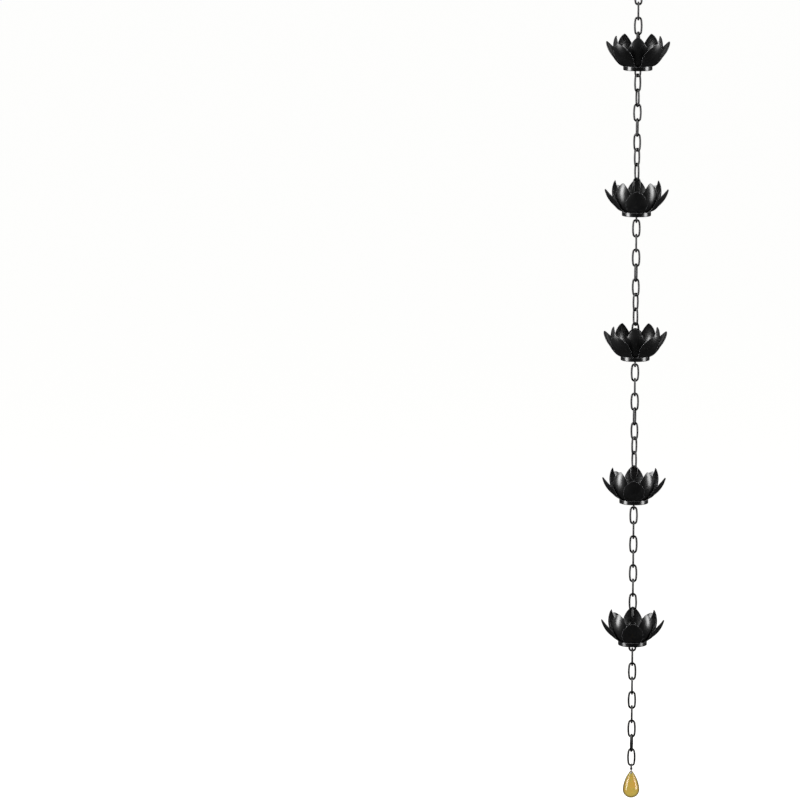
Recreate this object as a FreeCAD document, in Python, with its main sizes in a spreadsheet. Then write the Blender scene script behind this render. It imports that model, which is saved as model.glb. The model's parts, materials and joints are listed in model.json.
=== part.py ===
import FreeCAD, Part
import Sketcher
import os
from math import acos, asin, cos, radians, sin, sqrt

# Rain chain: oval wire links carry five lotus cups and end in a glass drop.
# Millimetres, +Z up. The origin is the seat of the top link, the underside of
# the wire at its upper end, where it hangs on a hook. The chain's front faces -Y.

doc = FreeCAD.newDocument("rain_chain")
sheet = doc.addObject("Spreadsheet::Sheet", "sizes")

DRIVING_SIZES = [
    # links, bent from round wire and butted at the middle of one side
    ("wire_diameter", 4.0),
    ("link_length", 38.0),
    ("link_width", 17.5),
    ("link_end_radius", 5.9),
    ("butt_gap", 0.3),
    ("hook_gap", 0.2),
    # the long loop through each cup and the pin welded across it
    ("hanger_length", 62.2),
    ("hanger_width", 17.5),
    ("hanger_end_radius", 6.2),
    ("pin_length", 44.0),
    ("hanger_drop", 12.8),
    # round base ring
    ("ring_radius", 29.2),
    ("ring_height", 8.0),
    ("ring_wall", 1.6),
    ("ring_edge_radius", 1.2),
    # both flowers are stamped from one thickness of sheet
    ("sheet_thickness", 1.0),
    ("drain_radius", 12.0),
    ("petal_count", 5),
    ("petal_tip_half_width", 0.8),
    # outer flower, whose petals flare
    ("outer_root_inset", 4.5),
    ("outer_half_width", 21.3),
    ("outer_widest_at", 0.46),
    ("outer_taper_power", 2.4),
    ("outer_tip_roundness", 0.68),
    ("outer_bend_radius", 14.0),
    ("outer_flank_angle", 39.0),
    ("outer_flank_length", 16.0),
    ("outer_tip_bend_radius", 57.0),
    ("outer_tip_angle", 80.0),
    ("outer_cup_radius", 38.0),
    ("outer_cupping_from", 0.1),
    ("outer_cupping_full", 0.6),
    # inner flower, whose petals stand up and lean in at their tips
    ("inner_floor_inset", 5.5),
    ("inner_root_inset", 2.7),
    ("inner_half_width", 20.3),
    ("inner_widest_at", 0.52),
    ("inner_taper_power", 2.2),
    ("inner_tip_roundness", 0.85),
    ("inner_bend_radius", 25.5),
    ("inner_flank_angle", 56.0),
    ("inner_flank_length", 0.5),
    ("inner_tip_bend_radius", 49.0),
    ("inner_tip_angle", 116.0),
    ("inner_cup_radius", 30.0),
    ("inner_cupping_from", 0.0),
    ("inner_cupping_full", 0.35),
    # wire hook of the drop
    ("hook_wire_diameter", 1.8),
    ("hook_length", 20.0),
    ("hook_width", 12.5),
    ("hook_end_radius", 5.2),
    # glass drop
    ("drop_length", 56.0),
    ("drop_radius", 17.0),
    ("drop_side_radius", 70.0),
    ("drop_neck_radius", 3.4),
    ("drop_hole_radius", 2.0),
    ("drop_seat", 0.4),
]
for row, (alias, value) in enumerate(DRIVING_SIZES, start=1):
    sheet.set("A%d" % row, alias)
    sheet.set("B%d" % row, str(value))
    sheet.setAlias("B%d" % row, alias)
doc.recompute()


def size(alias):
    return float(sheet.get(alias))


def bind(obj, **formulas):
    """Ties properties of an object to cells of the sheet."""
    for prop, formula in formulas.items():
        obj.setExpression(prop.replace("__", "."), formula)


# The turn of each link about the vertical, from the piece above it. Loosely
# hooked links never stand quite square to each other.
SQUARE = 90
TOP_TURNS = [0, SQUARE, SQUARE, 72]
FIRST_HANGER_TURN = 72
RUN_TURNS = [
    [74, 74, 74, 74, 74, 74, 74, 74, 74],
    [90, 90, 85, 80, 80, 75, 75, 73, 72],
    [90, 90, 85, 80, 80, 75, 75, 73, 72],
    [SQUARE] * 9,
]
TAIL_TURNS = [90, 90, 90, 90, 90, 90, 78, 102]
CUP_TURNS = [36, 0, 36, 0, 0]
PETAL_STEP = 360 / size("petal_count")


def oval_path(length, width, end_radius, gap):
    """Centre line of a bent wire in the XZ plane, centred on the origin.

    Two end arcs and two shallow side arcs meet in tangents. The line starts
    just above the middle of the +X side and ends just below it, at the butt.
    """
    half_length = length / 2
    half_width = width / 2
    end_centre = half_length - end_radius
    side_radius = (half_width**2 + end_centre**2 - end_radius**2) / (2 * (half_width - end_radius))
    side_centre = side_radius - half_width
    lean = asin(end_centre / (side_radius - end_radius))

    def point(x, z):
        return FreeCAD.Vector(x, 0, z)

    def on_side(angle, sign):
        return point(sign * (side_radius * cos(angle) - side_centre), side_radius * sin(angle))

    def on_end(sign):
        return point(0, sign * half_length)

    start_angle = asin(gap / 2 / side_radius)
    half_start = (lean + start_angle) / 2
    arcs = [
        (on_side(start_angle, 1), on_side(half_start, 1), on_side(lean, 1)),
        (on_side(lean, 1), on_end(1), on_side(lean, -1)),
        (on_side(lean, -1), on_side(0, -1), on_side(-lean, -1)),
        (on_side(-lean, -1), on_end(-1), on_side(-lean, 1)),
        (on_side(-lean, 1), on_side(-half_start, 1), on_side(-start_angle, 1)),
    ]
    return Part.Wire([Part.Arc(*points).toShape() for points in arcs])


def wire_loop(name, length, width, end_radius, diameter):
    """A round wire swept along the oval path."""
    path = doc.addObject("Part::Feature", name + "_path")
    wire_size = size(diameter)
    path_length = size(length) - wire_size
    path_width = size(width) - wire_size
    path.Shape = oval_path(path_length, path_width, size(end_radius), size("butt_gap"))
    section = doc.addObject("Part::Circle", name + "_section")
    bind(section, Radius="sizes.%s / 2" % diameter)
    bind(section, Placement__Base__x="(sizes.%s - sizes.%s) / 2" % (width, diameter))
    bind(section, Placement__Base__z="sizes.butt_gap / 2")
    loop = doc.addObject("Part::Sweep", name)
    loop.Sections = [section]
    loop.Spine = (path, ["Edge%d" % (i + 1) for i in range(len(path.Shape.Edges))])
    loop.Solid = True
    loop.Frenet = True
    return loop


link = wire_loop("link", "link_length", "link_width", "link_end_radius", "wire_diameter")
hanger_loop = wire_loop("hanger_loop", "hanger_length", "hanger_width", "hanger_end_radius", "wire_diameter")
hook = wire_loop("hook", "hook_length", "hook_width", "hook_end_radius", "hook_wire_diameter")

# The hanger's cross pin lies under the cup's floor and carries it. It runs
# through both strands of the loop, is welded to them and reaches past both.
# Heights here are from the middle of the loop.
hanger_low_wire = "-(sizes.hanger_length - sizes.wire_diameter) / 2"
pin_above_low_wire = "sizes.hanger_drop + sizes.ring_height - sizes.wire_diameter / 2"
pin = doc.addObject("Part::Cylinder", "pin")
bind(pin, Radius="sizes.wire_diameter / 2", Height="sizes.pin_length")
bind(pin, Placement__Base__x="-sizes.pin_length / 2")
bind(pin, Placement__Base__z="%s + %s" % (hanger_low_wire, pin_above_low_wire))
pin.Placement.Rotation = FreeCAD.Rotation(FreeCAD.Vector(0, 1, 0), 90)
hanger = doc.addObject("Part::Fuse", "hanger")
hanger.Base = hanger_loop
hanger.Tool = pin


def base_plane(body, role):
    return next(item for item in body.Origin.OriginFeatures if item.Role == role)


# Base ring: a short turned collar with its lower outer edge rounded.
ring = doc.addObject("PartDesign::Body", "ring")
ring_section = ring.newObject("Sketcher::SketchObject", "ring_section")
ring_section.AttachmentSupport = [(base_plane(ring, "XZ_Plane"), "")]
ring_section.MapMode = "FlatFace"
ring_inside = size("ring_radius") - size("ring_wall")
corners = [
    FreeCAD.Vector(ring_inside, 0, 0),
    FreeCAD.Vector(size("ring_radius"), 0, 0),
    FreeCAD.Vector(size("ring_radius"), size("ring_height"), 0),
    FreeCAD.Vector(ring_inside, size("ring_height"), 0),
]
for i, corner in enumerate(corners):
    ring_section.addGeometry(Part.LineSegment(corner, corners[(i + 1) % 4]))
for i in range(4):
    ring_section.addConstraint(Sketcher.Constraint("Coincident", i, 2, (i + 1) % 4, 1))
for i, kind in enumerate(["Horizontal", "Vertical", "Horizontal", "Vertical"]):
    ring_section.addConstraint(Sketcher.Constraint(kind, i))
ring_section.addConstraint(Sketcher.Constraint("PointOnObject", 0, 1, -1))


def dimension(kind, line, point, other_line, other_point, alias):
    """A named dimension of the ring's section, tied to its size in the sheet."""
    dimensioned = Sketcher.Constraint(kind, line, point, other_line, other_point, size(alias))
    ring_section.renameConstraint(ring_section.addConstraint(dimensioned), alias)
    ring_section.setExpression("Constraints." + alias, "sizes." + alias)


dimension("DistanceX", -1, 1, 0, 2, "ring_radius")
dimension("DistanceX", 0, 1, 0, 2, "ring_wall")
dimension("DistanceY", 1, 1, 1, 2, "ring_height")
ring_turned = ring.newObject("PartDesign::Revolution", "ring_turned")
ring_turned.Profile = ring_section
ring_turned.ReferenceAxis = (ring_section, ["V_Axis"])
ring_turned.Angle = 360
doc.recompute()


def lower_outer_edge(shape, radius):
    """Name of the circular edge that lies lowest and furthest out."""
    for number, edge in enumerate(shape.Edges, start=1):
        box = edge.BoundBox
        if box.ZMax < 1e-6 and abs(box.XMax - radius) < 1e-6:
            return "Edge%d" % number


ring_edge = ring.newObject("PartDesign::Fillet", "ring_edge")
ring_edge.Base = (ring_turned, [lower_outer_edge(ring_turned.Shape, size("ring_radius"))])
bind(ring_edge, Radius="sizes.ring_edge_radius")


LEAST_CUPPING = 0.02
ROOT_STEP = 0.03
STATIONS = [0, 0.08, 0.18, 0.3, 0.42, 0.54, 0.66, 0.77, 0.86, 0.93, 0.975, 1]
ARC_POINTS = 7


def floor_radius(kind):
    """The outer flower's floor is as wide as the ring under it, the inner one's is narrower."""
    inset = 0 if kind == "outer" else size("inner_floor_inset")
    return size("ring_radius") - inset


def root_radius(kind):
    """A petal is rooted on a chord of the round floor, this far from the axis."""
    return floor_radius(kind) - size(kind + "_root_inset")


def root_half_width(kind):
    return sqrt(floor_radius(kind) ** 2 - root_radius(kind) ** 2)


class Midrib:
    """The curve up the middle of a petal's underside, from the flat floor of the
    flower: a bend, a straight flank and a wider bend to the tip. Each point has a
    distance from the axis, a height and a slope."""

    def __init__(self, kind, floor_height):
        self.start = (root_radius(kind), floor_height)
        self.flank_angle = radians(size(kind + "_flank_angle"))
        self.tip_angle = radians(size(kind + "_tip_angle"))
        self.bend = size(kind + "_bend_radius")
        self.flank = size(kind + "_flank_length")
        self.tip_bend = size(kind + "_tip_bend_radius")
        self.bend_length = self.bend * self.flank_angle
        self.tip_length = self.tip_bend * (self.tip_angle - self.flank_angle)
        self.length = self.bend_length + self.flank + self.tip_length

    def at(self, along):
        r, z = self.start
        angle = min(along / self.bend, self.flank_angle)
        r += self.bend * sin(angle)
        z += self.bend * (1 - cos(angle))
        straight = min(max(along - self.bend_length, 0), self.flank)
        r += straight * cos(self.flank_angle)
        z += straight * sin(self.flank_angle)
        rest = max(along - self.bend_length - self.flank, 0)
        if rest > 0:
            angle = self.flank_angle + rest / self.tip_bend
            r += self.tip_bend * (sin(angle) - sin(self.flank_angle))
            z += self.tip_bend * (cos(self.flank_angle) - cos(angle))
        return r, z, angle


def smooth(share):
    return (1 - cos(radians(180) * share)) / 2


def half_width_at(kind, share):
    """Half the petal's width: it swells from the root and tapers to the tip."""
    widest = size(kind + "_half_width")
    root = root_half_width(kind)
    tip = size("petal_tip_half_width")
    turn = size(kind + "_widest_at")
    if share < turn:
        return root + (widest - root) * smooth(share / turn)
    taper = 1 - ((share - turn) / (1 - turn)) ** size(kind + "_taper_power")
    return tip + (widest - tip) * taper ** size(kind + "_tip_roundness")


def cupping_at(kind, share):
    """How strongly the petal is cupped across: hardly at the root, fully further up."""
    start = size(kind + "_cupping_from")
    full = size(kind + "_cupping_full")
    rise = min(max((share - start) / (full - start), 0), 1)
    return max(smooth(rise), LEAST_CUPPING) / size(kind + "_cup_radius")


def smooth_curve(points):
    """A curve through the points at even parameters, so that all sections match."""
    curve = Part.BSplineCurve()
    last = len(points) - 1
    curve.interpolate(Points=points, Parameters=[number / last for number in range(len(points))])
    return curve.toShape()


def petal_section(kind, midrib, share):
    """One section across the petal, two arcs a sheet's thickness apart."""
    r, z, angle = midrib.at(share * midrib.length)
    outward = FreeCAD.Vector(sin(angle), 0, -cos(angle))
    across = FreeCAD.Vector(0, 1, 0)
    radius = 1 / cupping_at(kind, share)
    spread = asin(half_width_at(kind, share) / radius)
    centre = FreeCAD.Vector(r, 0, z) - outward * radius

    def on_arc(arc_radius, turn):
        return centre + outward * (arc_radius * cos(turn)) + across * (arc_radius * sin(turn))

    turns = [spread * (2 * number / (ARC_POINTS - 1) - 1) for number in range(ARC_POINTS)]
    low = [on_arc(radius, turn) for turn in turns]
    high = [on_arc(radius - size("sheet_thickness"), -turn) for turn in turns]
    edges = [
        smooth_curve(low),
        Part.LineSegment(low[-1], high[0]).toShape(),
        smooth_curve(high),
        Part.LineSegment(high[-1], low[0]).toShape(),
    ]
    return Part.Wire(edges)


def flower(kind, floor_layer):
    """A stamped flower: five lofted petals on a flat floor with a drain hole."""
    floor_height = size("ring_height") + floor_layer * size("sheet_thickness")
    midrib = Midrib(kind, floor_height + ROOT_STEP)
    sections = []
    for number, share in enumerate(STATIONS):
        section = doc.addObject("Part::Feature", "%s_section_%d" % (kind, number))
        section.Shape = petal_section(kind, midrib, share)
        sections.append(section)
    petal = doc.addObject("Part::Loft", kind + "_petal")
    petal.Sections = sections
    petal.Solid = True
    petal.Ruled = False
    doc.recompute()
    floor = doc.addObject("Part::Cylinder", kind + "_floor")
    bind(floor, Height="sizes.sheet_thickness")
    floor.Radius = floor_radius(kind)
    floor.Placement.Base.z = floor_height
    petals = []
    for number in range(int(size("petal_count"))):
        copy = doc.addObject("Part::Feature", "%s_petal_%d" % (kind, number + 1))
        copy.Shape = petal.Shape
        copy.Placement = turned(number * PETAL_STEP)
        petals.append(copy)
    joined = doc.addObject("Part::MultiFuse", kind + "_joined")
    joined.Shapes = [floor] + petals
    drain = doc.addObject("Part::Cylinder", kind + "_drain")
    bind(drain, Radius="sizes.drain_radius", Height="3 * sizes.sheet_thickness")
    drain.Placement.Base.z = floor_height - size("sheet_thickness")
    pierced = doc.addObject("Part::Cut", kind + "_flower")
    pierced.Base = joined
    pierced.Tool = drain
    return pierced


def turned(angle, height=0):
    return FreeCAD.Placement(
        FreeCAD.Vector(0, 0, height), FreeCAD.Rotation(FreeCAD.Vector(0, 0, 1), angle)
    )


outer_flower = flower("outer", 0)
inner_flower = flower("inner", 1)


def drop_outline():
    """Half outline of the drop: a round foot, long convex sides and a small round top.

    The height is counted from the centre of the round top, where the hole is.
    """
    foot = size("drop_radius")
    top = size("drop_neck_radius")
    side = size("drop_side_radius")
    foot_depth = size("drop_length") - foot - top
    rise = (foot_depth**2 - (foot - top) * (2 * side - foot - top)) / (2 * foot_depth)
    out = sqrt((side - foot) ** 2 - rise**2)
    foot_centre = FreeCAD.Vector(0, 0, -foot_depth)
    side_centre = FreeCAD.Vector(-out, 0, rise - foot_depth)
    to_foot = (foot_centre - side_centre).normalize()
    to_top = (FreeCAD.Vector() - side_centre).normalize()
    middle = (to_foot + to_top).normalize()
    foot_turn = acos(-to_foot.z) / 2
    top_turn = acos(to_top.z) / 2
    down = FreeCAD.Vector(0, 0, -1)
    bottom = foot_centre + down * foot
    summit = FreeCAD.Vector(0, 0, top)
    foot_middle = foot_centre + FreeCAD.Vector(sin(foot_turn), 0, -cos(foot_turn)) * foot
    top_middle = FreeCAD.Vector(sin(top_turn), 0, cos(top_turn)) * top
    low_join = side_centre + to_foot * side
    high_join = side_centre + to_top * side
    return Part.Wire([
        Part.Arc(bottom, foot_middle, low_join).toShape(),
        Part.Arc(low_join, side_centre + middle * side, high_join).toShape(),
        Part.Arc(high_join, top_middle, summit).toShape(),
        Part.LineSegment(summit, bottom).toShape(),
    ])


drop_profile = doc.addObject("Part::Feature", "drop_profile")
drop_profile.Shape = Part.Face(drop_outline())
drop_turned = doc.addObject("Part::Revolution", "drop_turned")
drop_turned.Source = drop_profile
drop_turned.Axis = FreeCAD.Vector(0, 0, 1)
drop_turned.Angle = 360
drop_turned.Solid = True
drop_hole = doc.addObject("Part::Cylinder", "drop_hole")
bind(drop_hole, Radius="sizes.drop_hole_radius", Height="2 * sizes.drop_radius")
bind(drop_hole, Placement__Base__x="-sizes.drop_radius")
drop_hole.Placement.Rotation = FreeCAD.Rotation(FreeCAD.Vector(0, 1, 0), 90)
drop = doc.addObject("Part::Cut", "drop")
drop.Base = drop_turned
drop.Tool = drop_hole
doc.recompute()

nodes = []


def place(name, master, angle, height):
    """A piece of the chain: a copy of its pattern, turned and hung at its height."""
    node = doc.addObject("Part::Feature", name)
    node.Label = name
    node.Shape = master.Shape
    node.Placement = turned(angle, height).multiply(master.Placement)
    nodes.append(node)


def hung_below(height, above, below):
    """Height of the middle of a loop that hangs in the loop above it.

    A loop is given by its length and its wire's diameter."""
    lengths = (size(above[0]) + size(below[0])) / 2
    return height - lengths + size(above[1]) + size(below[1]) + size("hook_gap")


LINK = ("link_length", "wire_diameter")
HANGER = ("hanger_length", "wire_diameter")
HOOK = ("hook_length", "hook_wire_diameter")

height = size("wire_diameter") - size("link_length") / 2
angle = 0
for number, turn in enumerate(TOP_TURNS, start=1):
    if number > 1:
        height = hung_below(height, LINK, LINK)
    angle += turn
    place("top_link_%d" % number, link, angle, height)

above = LINK
hanger_turn = FIRST_HANGER_TURN
for cup, cup_turn in enumerate(CUP_TURNS, start=1):
    height = hung_below(height, above, HANGER)
    angle += hanger_turn
    place("cup_%d_hanger" % cup, hanger, angle, height)
    cup_foot = height - (size("hanger_length") - size("wire_diameter")) / 2 + size("hanger_drop")
    place("cup_%d_base_ring" % cup, ring, 0, cup_foot)
    place("cup_%d_outer_petals" % cup, outer_flower, cup_turn - SQUARE, cup_foot)
    place("cup_%d_inner_petals" % cup, inner_flower, cup_turn - SQUARE + PETAL_STEP / 2, cup_foot)
    above = HANGER
    if cup > len(RUN_TURNS):
        break
    for number, turn in enumerate(RUN_TURNS[cup - 1][:-1], start=1):
        height = hung_below(height, above, LINK)
        angle += turn
        place("run_%d_link_%d" % (cup, number), link, angle, height)
        above = LINK
    hanger_turn = RUN_TURNS[cup - 1][-1]

# The tail's links are one group.
tail = []
for turn in TAIL_TURNS:
    height = hung_below(height, above, LINK)
    angle += turn
    tail.append(link.Shape.copy())
    tail[-1].Placement = turned(angle, height)
    above = LINK
tail_links = doc.addObject("Part::Feature", "tail_links")
tail_links.Shape = Part.makeCompound(tail)
nodes.append(tail_links)

height = hung_below(height, LINK, HOOK)
angle += SQUARE
place("drop_hook", hook, angle, height)
hook_low_wire = height - (size("hook_length") - size("hook_wire_diameter")) / 2
place("glass_drop", drop, angle, hook_low_wire + size("drop_seat"))
doc.recompute()

for obj in doc.Objects:
    if "Invalid" in obj.State or "Error" in obj.State:
        raise RuntimeError("failed: %s %s" % (obj.Name, obj.State))
for node in nodes:
    if node.Shape.isNull() or not node.Shape.isValid():
        raise RuntimeError("bad shape: " + node.Label)

os.makedirs("parts", exist_ok=True)
for node in nodes:
    node.Shape.exportStep("parts/%s.step" % node.Label)
print("%d pieces written" % len(nodes))
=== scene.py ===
import bpy
import json
import math
from mathutils import Matrix, Vector

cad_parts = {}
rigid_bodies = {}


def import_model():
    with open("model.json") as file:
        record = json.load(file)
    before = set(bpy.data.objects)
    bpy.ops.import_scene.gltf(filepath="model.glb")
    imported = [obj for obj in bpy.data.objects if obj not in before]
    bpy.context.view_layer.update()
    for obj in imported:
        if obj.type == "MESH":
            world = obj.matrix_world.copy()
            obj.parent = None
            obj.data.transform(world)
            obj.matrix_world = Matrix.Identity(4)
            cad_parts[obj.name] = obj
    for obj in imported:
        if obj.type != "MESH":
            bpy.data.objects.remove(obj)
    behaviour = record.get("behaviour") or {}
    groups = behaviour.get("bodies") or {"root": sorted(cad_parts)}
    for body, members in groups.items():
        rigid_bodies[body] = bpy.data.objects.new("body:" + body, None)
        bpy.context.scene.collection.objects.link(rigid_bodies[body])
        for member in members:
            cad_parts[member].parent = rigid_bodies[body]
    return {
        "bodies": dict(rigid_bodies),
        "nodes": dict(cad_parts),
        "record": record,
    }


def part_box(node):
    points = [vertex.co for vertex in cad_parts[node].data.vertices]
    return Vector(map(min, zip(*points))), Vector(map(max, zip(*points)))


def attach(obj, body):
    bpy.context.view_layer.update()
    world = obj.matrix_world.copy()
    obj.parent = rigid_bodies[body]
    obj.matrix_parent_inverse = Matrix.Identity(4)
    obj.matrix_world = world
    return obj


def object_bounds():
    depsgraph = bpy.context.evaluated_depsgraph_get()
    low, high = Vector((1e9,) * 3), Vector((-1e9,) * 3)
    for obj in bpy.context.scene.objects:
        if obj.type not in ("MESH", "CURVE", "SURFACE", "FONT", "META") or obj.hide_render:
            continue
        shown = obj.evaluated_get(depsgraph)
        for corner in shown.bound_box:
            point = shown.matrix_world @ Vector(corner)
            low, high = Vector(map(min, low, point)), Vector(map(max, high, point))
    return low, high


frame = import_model()
cadLow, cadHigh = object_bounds()
nodes = frame["nodes"]
chainMiddle = (cadLow + cadHigh) / 2
print("rain chain loaded: %d pieces" % len(nodes))

millimetre = 0.001
creaseAngle = 40     # degrees, above which an edge of an added piece stays sharp


def heights(name):
    # bottom and top of a piece, in millimetres
    low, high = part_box(name)
    return low.z / millimetre, high.z / millimetre


def hexColour(code):
    channels = [int(code[i:i + 2], 16) / 255 for i in (1, 3, 5)]
    linear = [c / 12.92 if c <= 0.04045 else ((c + 0.055) / 1.055) ** 2.4 for c in channels]
    return (*linear, 1.0)


def addNode(tree, kind, settings=None, inputs=None):
    # an input is a value, or the output socket that it is linked from
    node = tree.nodes.new(kind)
    for name, value in (settings or {}).items():
        setattr(node, name, value)
    for name, value in (inputs or {}).items():
        if isinstance(value, bpy.types.NodeSocket):
            tree.links.new(value, node.inputs[name])
        else:
            node.inputs[name].default_value = value
    return node


# where a Mix node that is set to colours has its two inputs and its output
firstColour, secondColour, mixedColour = 6, 7, 2


def rampColours(node, stops):
    elements = node.color_ramp.elements
    while len(elements) < len(stops):
        elements.new(0.5)
    for element, (place, code) in zip(elements, stops):
        element.position = place
        element.color = hexColour(code)


def newMaterial(name):
    material = bpy.data.materials.new(name)
    material.use_nodes = True
    material.node_tree.nodes.clear()
    return material, material.node_tree


# Powder coat is melted on, so it is satin and has an orange peel. Every sheared edge
# is given a pale colour, a painted highlight for the light that the edges catch.
def powderCoat(name, finish):
    material, tree = newMaterial(name)
    place = addNode(tree, "ShaderNodeTexCoord").outputs["Object"]

    cloud = addNode(tree, "ShaderNodeTexNoise", None, {
        "Vector": place, "Scale": 1 / (finish["cloudWidth"] * millimetre), "Detail": 3.0})
    rough = addNode(tree, "ShaderNodeMapRange", None, {
        "Value": cloud.outputs["Fac"],
        "From Min": finish["cloudSpan"][0], "From Max": finish["cloudSpan"][1],
        "To Min": finish["roughness"][0], "To Max": finish["roughness"][1]})

    peel = addNode(tree, "ShaderNodeTexNoise", None, {
        "Vector": place, "Scale": 1 / (finish["peelWidth"] * millimetre), "Detail": 2.0})
    grain = addNode(tree, "ShaderNodeTexNoise", None, {
        "Vector": place, "Scale": 1 / (finish["grainWidth"] * millimetre), "Detail": 1.0})
    rounded = addNode(tree, "ShaderNodeBevel", {"samples": 6}, {
        "Radius": finish["edgeRadius"] * millimetre})
    peelBump = addNode(tree, "ShaderNodeBump", None, {
        "Height": peel.outputs["Fac"], "Normal": rounded.outputs["Normal"],
        "Strength": finish["peelStrength"], "Distance": finish["peelDepth"] * millimetre})
    grainBump = addNode(tree, "ShaderNodeBump", None, {
        "Height": grain.outputs["Fac"], "Normal": peelBump.outputs["Normal"],
        "Strength": finish["grainStrength"], "Distance": finish["grainDepth"] * millimetre})

    # where the rounded and the true normal part, the surface is an edge, painted pale as a
    # highlight
    flatNormal = addNode(tree, "ShaderNodeNewGeometry").outputs["True Normal"]
    alike = addNode(tree, "ShaderNodeVectorMath", {"operation": "DOT_PRODUCT"}, {
        0: flatNormal, 1: rounded.outputs["Normal"]})
    paintedRimShading = addNode(tree, "ShaderNodeMapRange", None, {
        "Value": alike.outputs["Value"],
        "From Min": finish["rimAlike"][0], "From Max": finish["rimAlike"][1]})

    shade = addNode(tree, "ShaderNodeValToRGB", None, {"Fac": cloud.outputs["Fac"]})
    rampColours(shade, finish["shades"])
    # painted highlight: the colour is mixed towards pale along the edges
    colour = addNode(tree, "ShaderNodeMix", {"data_type": "RGBA"}, {
        "Factor": paintedRimShading.outputs["Result"],
        firstColour: shade.outputs["Color"], secondColour: hexColour(finish["paintedRimShading"])})

    # the grain scatters a glancing mirror image, so a petal seen edge-on stays dark
    facing = addNode(tree, "ShaderNodeLayerWeight", None, {"Blend": 0.5}).outputs["Facing"]

    def fromStraightToGlancing(straight, glancing):
        return addNode(tree, "ShaderNodeMapRange", {"interpolation_type": "SMOOTHSTEP"}, {
            "Value": facing,
            "From Min": finish["glancing"][0], "From Max": finish["glancing"][1],
            "To Min": straight, "To Max": glancing}).outputs["Result"]

    dullness = addNode(tree, "ShaderNodeMath", {"operation": "ADD"}, {
        0: rough.outputs["Result"], 1: fromStraightToGlancing(0.0, finish["glancingRoughness"])})
    coat = addNode(tree, "ShaderNodeBsdfPrincipled", None, {
        "Base Color": colour.outputs[mixedColour], "Roughness": dullness.outputs[0],
        "Specular IOR Level": fromStraightToGlancing(*finish["shine"]),
        "Normal": grainBump.outputs["Normal"],
        "Coat Weight": fromStraightToGlancing(finish["gloss"], 0.0),
        "Coat Roughness": finish["glossRoughness"], "Coat IOR": finish["glossIndex"],
        "Coat Normal": grainBump.outputs["Normal"]})
    addNode(tree, "ShaderNodeOutputMaterial", None, {"Surface": coat.outputs["BSDF"]})
    return material


# On the petals it is near black, with broad soft highlights. Widths, depths and the
# edge radius are in millimetres. A real coat's peel is about 2 mm wide and its
# grain 0.1 mm, too fine to show from here, so both are drawn coarser than they are.
sheetCoat = {
    # the pale rim colour is a painted highlight for the light caught by sheared edges
    "shades": [(0.35, "#080809"), (0.68, "#0f0f10")], "paintedRimShading": "#aaaaae", "rimAlike": (0.98, 0.80),
    "roughness": (0.32, 0.40), "cloudWidth": 22, "cloudSpan": (0.3, 0.7),
    "gloss": 1.0, "glossRoughness": 0.29, "glossIndex": 1.65,
    "peelWidth": 5.5, "peelDepth": 0.09, "peelStrength": 0.16,
    "grainWidth": 0.5, "grainDepth": 0.02, "grainStrength": 0.3,
    "edgeRadius": 0.45,
    "glancing": (0.42, 0.72), "glancingRoughness": 0.4, "shine": (0.5, 0.15),
}
# The rolled band is smoother, so the lamps show on it as two brighter patches.
ringCoat = dict(
    sheetCoat, shades=[(0.35, "#080809"), (0.68, "#121213")],
    roughness=(0.26, 0.32), glossRoughness=0.19, edgeRadius=0.5)
# Drawn wire is smooth under the coat and shows thin highlights along it.
wireCoat = dict(
    sheetCoat, shades=[(0.35, "#070708"), (0.68, "#0e0e0f")],
    roughness=(0.26, 0.34), gloss=0.6, glossRoughness=0.18,
    cloudWidth=14, peelStrength=0.15, grainStrength=0.35, edgeRadius=0.25)
# The hook's thin wire is only lacquered, so it is dull and stays dark on white.
hookCoat = dict(
    wireCoat, roughness=(0.34, 0.42), gloss=0.3, peelWidth=1.0, grainStrength=0.2, edgeRadius=0.15)

finishes = {
    "petals": powderCoat("black powder coat on pressed sheet steel", sheetCoat),
    "ring": powderCoat("black powder coat on a rolled steel band", ringCoat),
    "wire": powderCoat("black powder coat on bent steel wire", wireCoat),
    "hook_wire": powderCoat("black lacquer on thin steel wire", hookCoat),
}
print("coats mixed")

# Cast glass, fire polished: amber, yellower at the bottom and in slow streaks, with rims
# darkened as painted shade and a slow waviness from the mould. Lengths are in millimetres.
dropGlass = {
    "tintAboveBottom": 2.7, "tintBelowTop": 5.3,
    "tints": [(0.0, "#afa552"), (0.3, "#cda74d"), (0.75, "#d59941"), (1.0, "#c79c46")],
    "paintedRimShading": "#5f5230", "rimFacing": (0.30, 0.58),
    "streak": "#b8ab55", "streakWidth": 9, "streakCurl": 0.6,
    "streakSpan": (0.45, 0.62), "streakShare": 0.8,
    "waveWidth": 11, "waveDepth": 0.35, "waveStrength": 0.12,
    "roughness": 0.10, "index": 1.52,
}


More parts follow.
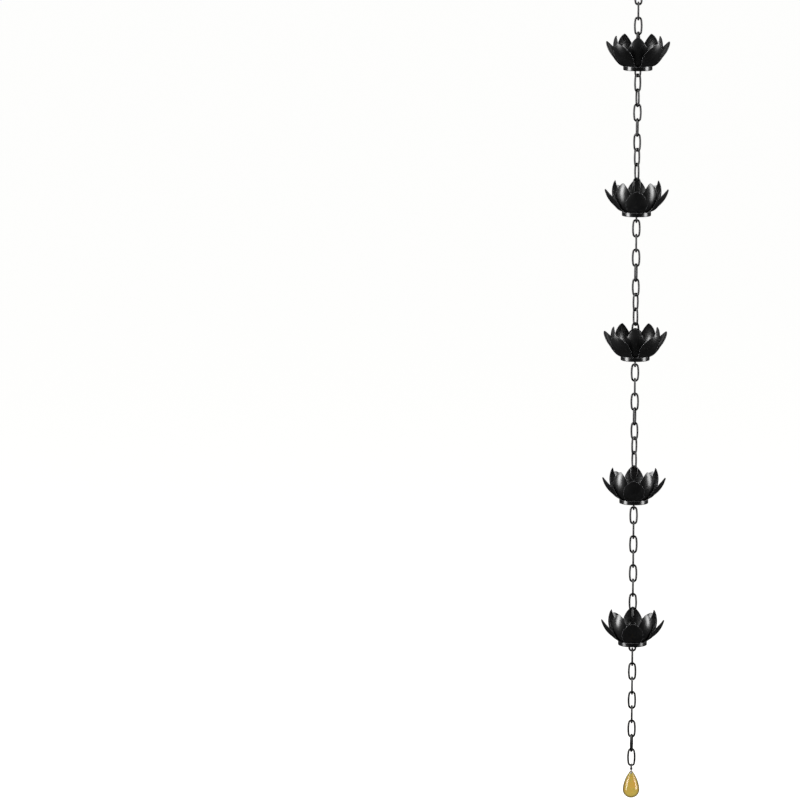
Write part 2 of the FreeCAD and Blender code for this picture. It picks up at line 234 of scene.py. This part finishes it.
def castGlass(name, finish, bottom, top):
    material, tree = newMaterial(name)
    place = addNode(tree, "ShaderNodeTexCoord").outputs["Object"]
    height = addNode(tree, "ShaderNodeSeparateXYZ", None, {"Vector": place}).outputs["Z"]
    share = addNode(tree, "ShaderNodeMapRange", None, {
        "Value": height,
        "From Min": (bottom + finish["tintAboveBottom"]) * millimetre,
        "From Max": (top - finish["tintBelowTop"]) * millimetre})
    tint = addNode(tree, "ShaderNodeValToRGB", None, {"Fac": share.outputs["Result"]})
    rampColours(tint, finish["tints"])

    streaks = addNode(tree, "ShaderNodeTexNoise", None, {
        "Vector": place, "Scale": 1 / (finish["streakWidth"] * millimetre),
        "Detail": 2.0, "Distortion": finish["streakCurl"]})
    yellower = addNode(tree, "ShaderNodeMapRange", None, {
        "Value": streaks.outputs["Fac"],
        "From Min": finish["streakSpan"][0], "From Max": finish["streakSpan"][1],
        "To Max": finish["streakShare"]})
    melt = addNode(tree, "ShaderNodeMix", {"data_type": "RGBA"}, {
        "Factor": yellower.outputs["Result"],
        firstColour: tint.outputs["Color"], secondColour: hexColour(finish["streak"])})

    # painted shade: the rims are darkened in the colour, standing in for light bent away at them
    facing = addNode(tree, "ShaderNodeLayerWeight", None, {"Blend": 0.5}).outputs["Facing"]
    paintedRimShading = addNode(tree, "ShaderNodeMapRange", {"interpolation_type": "SMOOTHSTEP"}, {
        "Value": facing,
        "From Min": finish["rimFacing"][0], "From Max": finish["rimFacing"][1]})
    body = addNode(tree, "ShaderNodeMix", {"data_type": "RGBA"}, {
        "Factor": paintedRimShading.outputs["Result"],
        firstColour: melt.outputs[mixedColour], secondColour: hexColour(finish["paintedRimShading"])})

    wave = addNode(tree, "ShaderNodeTexNoise", None, {
        "Vector": place, "Scale": 1 / (finish["waveWidth"] * millimetre), "Detail": 1.0})
    ripple = addNode(tree, "ShaderNodeBump", None, {
        "Height": wave.outputs["Fac"], "Strength": finish["waveStrength"],
        "Distance": finish["waveDepth"] * millimetre})
    glass = addNode(tree, "ShaderNodeBsdfPrincipled", None, {
        "Base Color": body.outputs[mixedColour], "Roughness": finish["roughness"],
        "IOR": finish["index"], "Transmission Weight": 1.0,
        "Normal": ripple.outputs["Normal"]})
    addNode(tree, "ShaderNodeOutputMaterial", None, {"Surface": glass.outputs["BSDF"]})
    return material


finishes["amber_glass"] = castGlass("amber cast glass", dropGlass, *heights("glass_drop"))
print("glass mixed")

for part in frame["record"]["subparts"]:
    piece = nodes[part["node"]]
    piece.data.materials.clear()
    piece.data.materials.append(finishes[part["material_slot"]])
print("finishes given to all pieces")


def joinedPiece(name, shapes, body, slot):
    # shapes: pairs of a list of points in millimetres and a list of faces
    points, faces = [], []
    for shapePoints, shapeFaces in shapes:
        start = len(points)
        points += [tuple(p * millimetre for p in point) for point in shapePoints]
        faces += [[start + corner for corner in face] for face in shapeFaces]
    mesh = bpy.data.meshes.new(name)
    mesh.from_pydata(points, [], faces)
    mesh.shade_smooth()
    mesh.set_sharp_from_angle(angle=math.radians(creaseAngle))
    piece = bpy.data.objects.new(name, mesh)
    bpy.context.scene.collection.objects.link(piece)
    mesh.materials.append(finishes[slot])
    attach(piece, body)


# The wire's two ends meet at the middle of one side of each loop. The joint is
# closed by a butt weld that stays a hair below the wire's surface, so the seam
# shows as a fine dark line. Lengths are in millimetres.
buttWeld = {
    "halfLength": 0.24, "below": 0.09, "around": 32,
    "nearMiddle": 0.2,     # points of the cut ends lie this close to half height
    "nearAxis": 14.9,      # and this close to the chain's axis
}


def cutEnds(name, low, high):
    # the cut ends crowd the points at half height on their own side of the loop
    middle = (low + high) / 2
    near = [v.co / millimetre for v in nodes[name].data.vertices]
    near = [p for p in near if abs(p.z - middle) < buttWeld["nearMiddle"]]
    near = [Vector((p.x, p.y, 0)) for p in near]
    near = [p for p in near if p.length < buttWeld["nearAxis"]]
    heavy = sum(near, Vector())
    ends = [p for p in near if p.dot(heavy) > 0]
    centre = sum(ends, Vector()) / len(ends)
    wireRadius = max((p - centre).length for p in ends)
    return Vector((centre.x, centre.y, middle)), wireRadius


def buttWeldShape(name, low, high):
    centre, wireRadius = cutEnds(name, low, high)
    radius = wireRadius - buttWeld["below"]
    around, half = buttWeld["around"], buttWeld["halfLength"]
    points = []
    for side in (-half, half):
        for step in range(around):
            turn = 2 * math.pi * step / around
            points.append(centre + Vector((radius * math.cos(turn), radius * math.sin(turn), side)))
    faces = [[i, (i + 1) % around, around + (i + 1) % around, around + i] for i in range(around)]
    faces += [list(range(around))[::-1], list(range(around, 2 * around))]
    return points, faces


def loopsOf(body):
    # each loop's piece with the loop's own bottom and top
    linkLow, linkHigh = heights("run_1_link_1")
    pitch = linkHigh - heights("run_1_link_2")[1]
    for name in frame["record"]["behaviour"]["bodies"][body]:
        low, high = heights(name)
        if name == "tail_links":
            # the tail's links are one piece
            length = linkHigh - linkLow
            count = round((high - low - length) / pitch) + 1
            for number in range(count):
                top = high - number * pitch
                yield name, top - length, top
        elif "link" in name or "hanger" in name:
            yield name, low, high


for body in frame["bodies"]:
    if body != "drop":
        welds = [buttWeldShape(*loop) for loop in loopsOf(body)]
        joinedPiece(body + "_butt_welds", welds, body, "wire")
print("wire ends welded")

# The hook's ends are closed by a binding of finer wire, wound from above the middle
# down and back over itself, so it is thicker towards the glass. Heights are in
# millimetres from the hook's middle.
binding = {
    "wireRadius": 0.45, "clearance": 0.02, "top": 3.6, "bottom": -4.5, "secondTop": -0.4,
    "pitch": 0.918, "layerRise": 0.81,
    "climb": 4,            # steps of the winding in which it gets most of the way up
    "around": 28, "aroundWire": 10,
}


def bindingTurns():
    # height and layer of the centre line, one pair for each step of the winding
    coil = []
    for layer, top in enumerate((binding["top"], binding["secondTop"])):
        steps = round((top - binding["bottom"]) / binding["pitch"] * binding["around"])
        rise = binding["pitch"] / binding["around"]
        run = [(top - rise * step, layer) for step in range(steps)]
        coil += run if layer == 0 else run[::-1]
    return coil


def bindingShape(name):
    centre, wireRadius = cutEnds(name, *heights(name))
    inner = wireRadius + binding["wireRadius"] + binding["clearance"]
    line, layerNow = [], 0.0
    for step, (height, layer) in enumerate(bindingTurns()):
        layerNow += (layer - layerNow) / binding["climb"]
        radius = inner + layerNow * binding["layerRise"]
        turn = 2 * math.pi * step / binding["around"]
        line.append(centre + Vector((radius * math.cos(turn), radius * math.sin(turn), height)))

    around, last = binding["aroundWire"], len(line) - 1
    points, faces = [], []
    for step, point in enumerate(line):
        ahead = (line[min(step + 1, last)] - line[max(step - 1, 0)]).normalized()
        outward = (point - centre) * Vector((1, 1, 0))
        outward = (outward - ahead * outward.dot(ahead)).normalized()
        side = ahead.cross(outward)
        for corner in range(around):
            turn = 2 * math.pi * corner / around
            across = outward * math.cos(turn) + side * math.sin(turn)
            points.append(point + across * binding["wireRadius"])
    for step in range(last):
        for corner in range(around):
            beside = (corner + 1) % around
            low, high = step * around, (step + 1) * around
            faces.append([low + corner, low + beside, high + beside, high + corner])
    faces += [list(range(around))[::-1], list(range(len(points) - around, len(points)))]
    return points, faces


joinedPiece("drop_hook_binding", [bindingShape("drop_hook")], "drop", "hook_wire")
print("hook bound")

# The cross pin is welded to both strands of its hanger. Each weld is a bead run
# round the pin on either side of the strand, with the ripples of the torch.
# Lengths are in millimetres.
pinWeld = {
    "pinAboveRing": 6.0,   # from the base ring's lower edge to the pin's middle
    "pinRadius": 2.0, "beadRadius": 0.75, "sunk": 0.5, "beside": 0.2,
    "ripples": 11, "rippleHeight": 0.12,
    "aroundPin": 66, "aroundBead": 12,
}


def beadShape(centre, along):
    # a ring round the pin, whose axis is along
    side = Vector((-along.y, along.x, 0))
    up = Vector((0, 0, 1))
    aroundPin, aroundBead = pinWeld["aroundPin"], pinWeld["aroundBead"]
    ringRadius = pinWeld["pinRadius"] + pinWeld["beadRadius"] - pinWeld["sunk"]
    points, faces = [], []
    for i in range(aroundPin):
        turn = 2 * math.pi * i / aroundPin
        outward = side * math.cos(turn) + up * math.sin(turn)
        ripple = abs(math.sin(turn * pinWeld["ripples"] / 2)) * pinWeld["rippleHeight"]
        thick = pinWeld["beadRadius"] - pinWeld["rippleHeight"] / 2 + ripple
        for j in range(aroundBead):
            roll = 2 * math.pi * j / aroundBead
            reach = outward * (ringRadius + thick * math.cos(roll))
            points.append(centre + reach + along * thick * math.sin(roll))
            nextI, nextJ = (i + 1) % aroundPin, (j + 1) % aroundBead
            faces.append([
                i * aroundBead + j, nextI * aroundBead + j,
                nextI * aroundBead + nextJ, i * aroundBead + nextJ])
    return points, faces


for body in frame["bodies"]:
    if body.startswith("cup"):
        hanger = body + "_hanger"
        end, wireRadius = cutEnds(hanger, *heights(hanger))
        strand = Vector((end.x, end.y, 0))
        along = strand.normalized()
        pinHeight = heights(body + "_base_ring")[0] + pinWeld["pinAboveRing"]
        beads = []
        for strandSide in (-1, 1):
            for beadSide in (-1, 1):
                reach = strandSide * strand.length + beadSide * (wireRadius + pinWeld["beside"])
                beads.append(beadShape(along * reach + Vector((0, 0, pinHeight)), along))
        joinedPiece(body + "_pin_welds", beads, body, "wire")
print("pins welded")

# Studio, in metres: a pale floor below the chain and a white surround. The glow of
# both is told apart by the kind of ray, because the photograph's chain hangs before
# plain white, yet its coat mirrors a room that is dark in front.
studio = {
    "floorHeight": -1.80, "floorSize": 120.0, "floorColour": "#efefec",
    "floorLift": 0.66, "floorThroughGlass": 0.95, "floorPaintedShadeInGloss": "#262626",
    "surround": "#ffffff", "fill": 0.38, "frontDark": 0.012, "whiteFrom": (0.45, 0.95),
}


def paleFloor():
    bpy.ops.mesh.primitive_plane_add(
        size=studio["floorSize"], location=(0, 0, studio["floorHeight"]))
    floor = bpy.context.object
    floor.name = "studioFloor"
    material, tree = newMaterial("matt studio floor")
    path = addNode(tree, "ShaderNodeLightPath")
    # painted shade: mirror rays see the floor darker, standing in for a floor in half shade
    shade = addNode(tree, "ShaderNodeMix", {"data_type": "RGBA"}, {
        "Factor": path.outputs["Is Glossy Ray"],
        firstColour: hexColour(studio["floorColour"]),
        secondColour: hexColour(studio["floorPaintedShadeInGloss"])})
    paint = addNode(tree, "ShaderNodeBsdfDiffuse", None, {"Color": shade.outputs[mixedColour]})
    seen = addNode(tree, "ShaderNodeMath", {"operation": "MULTIPLY"}, {
        0: path.outputs["Is Camera Ray"], 1: studio["floorLift"]})
    seenThrough = addNode(tree, "ShaderNodeMath", {"operation": "MULTIPLY"}, {
        0: path.outputs["Is Transmission Ray"], 1: studio["floorThroughGlass"]})
    lift = addNode(tree, "ShaderNodeMath", {"operation": "MAXIMUM"}, {
        0: seen.outputs[0], 1: seenThrough.outputs[0]})
    glow = addNode(tree, "ShaderNodeEmission", None, {
        "Color": hexColour(studio["surround"]), "Strength": lift.outputs[0]})
    both = addNode(tree, "ShaderNodeAddShader", None, {0: paint.outputs[0], 1: glow.outputs[0]})
    addNode(tree, "ShaderNodeOutputMaterial", None, {"Surface": both.outputs[0]})
    floor.data.materials.append(material)


def whiteSurround():
    world = bpy.data.worlds.new("studio surround")
    bpy.context.scene.world = world
    world.use_nodes = True
    tree = world.node_tree
    tree.nodes.clear()
    path = addNode(tree, "ShaderNodeLightPath")
    # the coat mirrors white only from behind the chain
    direction = addNode(tree, "ShaderNodeTexCoord").outputs["Generated"]
    depth = addNode(tree, "ShaderNodeSeparateXYZ", None, {"Vector": direction}).outputs["Y"]
    backness = addNode(tree, "ShaderNodeMapRange", {"interpolation_type": "SMOOTHSTEP"}, {
        "Value": depth,
        "From Min": studio["whiteFrom"][0], "From Max": studio["whiteFrom"][1],
        "To Min": studio["frontDark"]})
    gloss = addNode(tree, "ShaderNodeMath", {"operation": "MULTIPLY"}, {
        0: path.outputs["Is Glossy Ray"], 1: backness.outputs["Result"]})
    fill = addNode(tree, "ShaderNodeMath", {"operation": "MULTIPLY"}, {
        0: path.outputs["Is Diffuse Ray"], 1: studio["fill"]})
    clear = addNode(tree, "ShaderNodeMath", {"operation": "MAXIMUM"}, {
        0: path.outputs["Is Camera Ray"], 1: path.outputs["Is Transmission Ray"]})
    seen = addNode(tree, "ShaderNodeMath", {"operation": "MAXIMUM"}, {
        0: clear.outputs[0], 1: gloss.outputs[0]})
    strength = addNode(tree, "ShaderNodeMath", {"operation": "MAXIMUM"}, {
        0: seen.outputs[0], 1: fill.outputs[0]})
    sky = addNode(tree, "ShaderNodeBackground", None, {
        "Color": hexColour(studio["surround"]), "Strength": strength.outputs[0]})
    addNode(tree, "ShaderNodeOutputWorld", None, {"Surface": sky.outputs[0]})


# Tall soft boxes with grids stand left and right of the chain, turned to it from
# a little above. Their mirror images are the broad bands on the upper half of the
# front petals and the two pale patches on each ring. Lengths are in metres.
softBoxes = {
    "leftBox": {
        "azimuth": -70, "rise": 10, "distance": 2.0, "wide": 0.95, "tall": 3.2,
        "watts": 22, "spread": 90},
    "rightBox": {
        "azimuth": 78, "rise": 10, "distance": 2.0, "wide": 0.95, "tall": 3.2,
        "watts": 18, "spread": 90},
    "topBox": {
        "azimuth": 0, "rise": 90, "distance": 2.4, "wide": 1.6, "tall": 1.6,
        "watts": 20, "spread": 180},
}


def awayFromChain(azimuth, rise):
    # azimuth 0 is the front, and both angles are in degrees
    turn, lift = math.radians(azimuth), math.radians(rise)
    return Vector((
        math.sin(turn) * math.cos(lift), -math.cos(turn) * math.cos(lift), math.sin(lift)))


def addSoftBox(name, box):
    light = bpy.data.lights.new(name, "AREA")
    light.shape = "RECTANGLE"
    light.size, light.size_y = box["wide"], box["tall"]
    light.energy = box["watts"]
    light.spread = math.radians(box["spread"])
    lamp = bpy.data.objects.new(name, light)
    bpy.context.scene.collection.objects.link(lamp)
    away = awayFromChain(box["azimuth"], box["rise"])
    lamp.location = chainMiddle + away * box["distance"]
    lamp.rotation_mode = "QUATERNION"
    lamp.rotation_quaternion = (-away).to_track_quat("-Z", "Y")
    lamp.visible_camera = False
    lamp.visible_transmission = False


paleFloor()
whiteSurround()
for boxName, box in softBoxes.items():
    addSoftBox(boxName, box)
print("studio lit")

# A long lens from a little above, as the photograph was taken. The chain's middle
# lies right of the middle of the frame, as it does there, and the chain leans as the
# photograph's does. Lens and sensor are in millimetres, the frame's width and the
# chain's place in pixels, distances in metres and angles in degrees.
viewpoint = {
    "elevation": 9.0, "distance": 10.0, "farEnd": 200.0, "lens": 223.0, "sensor": 36.0,
    "frameWidth": 800, "chainAt": (634.7, 395.0), "roll": 0.54,
}


def aimCamera():
    data = bpy.data.cameras.new("photoCamera")
    data.lens = viewpoint["lens"]
    data.sensor_width = viewpoint["sensor"]
    data.clip_end = viewpoint["farEnd"]
    camera = bpy.data.objects.new("photoCamera", data)
    bpy.context.scene.collection.objects.link(camera)
    back = awayFromChain(0, viewpoint["elevation"])
    camera.location = chainMiddle + back * viewpoint["distance"]
    lensInPixels = viewpoint["frameWidth"] * viewpoint["lens"] / viewpoint["sensor"]
    across, down = (at - viewpoint["frameWidth"] / 2 for at in viewpoint["chainAt"])
    turn = (-back).to_track_quat("-Z", "Y").to_matrix()
    turn = turn @ Matrix.Rotation(math.atan(across / lensInPixels), 3, "Y")
    turn = turn @ Matrix.Rotation(math.atan(down / lensInPixels), 3, "X")
    turn = turn @ Matrix.Rotation(math.radians(viewpoint["roll"]), 3, "Z")
    camera.rotation_mode = "QUATERNION"
    camera.rotation_quaternion = turn.to_quaternion()
    bpy.context.scene.camera = camera


aimCamera()
bpy.context.scene.view_settings.view_transform = "Standard"
print("camera aimed")

print("rain chain finished")
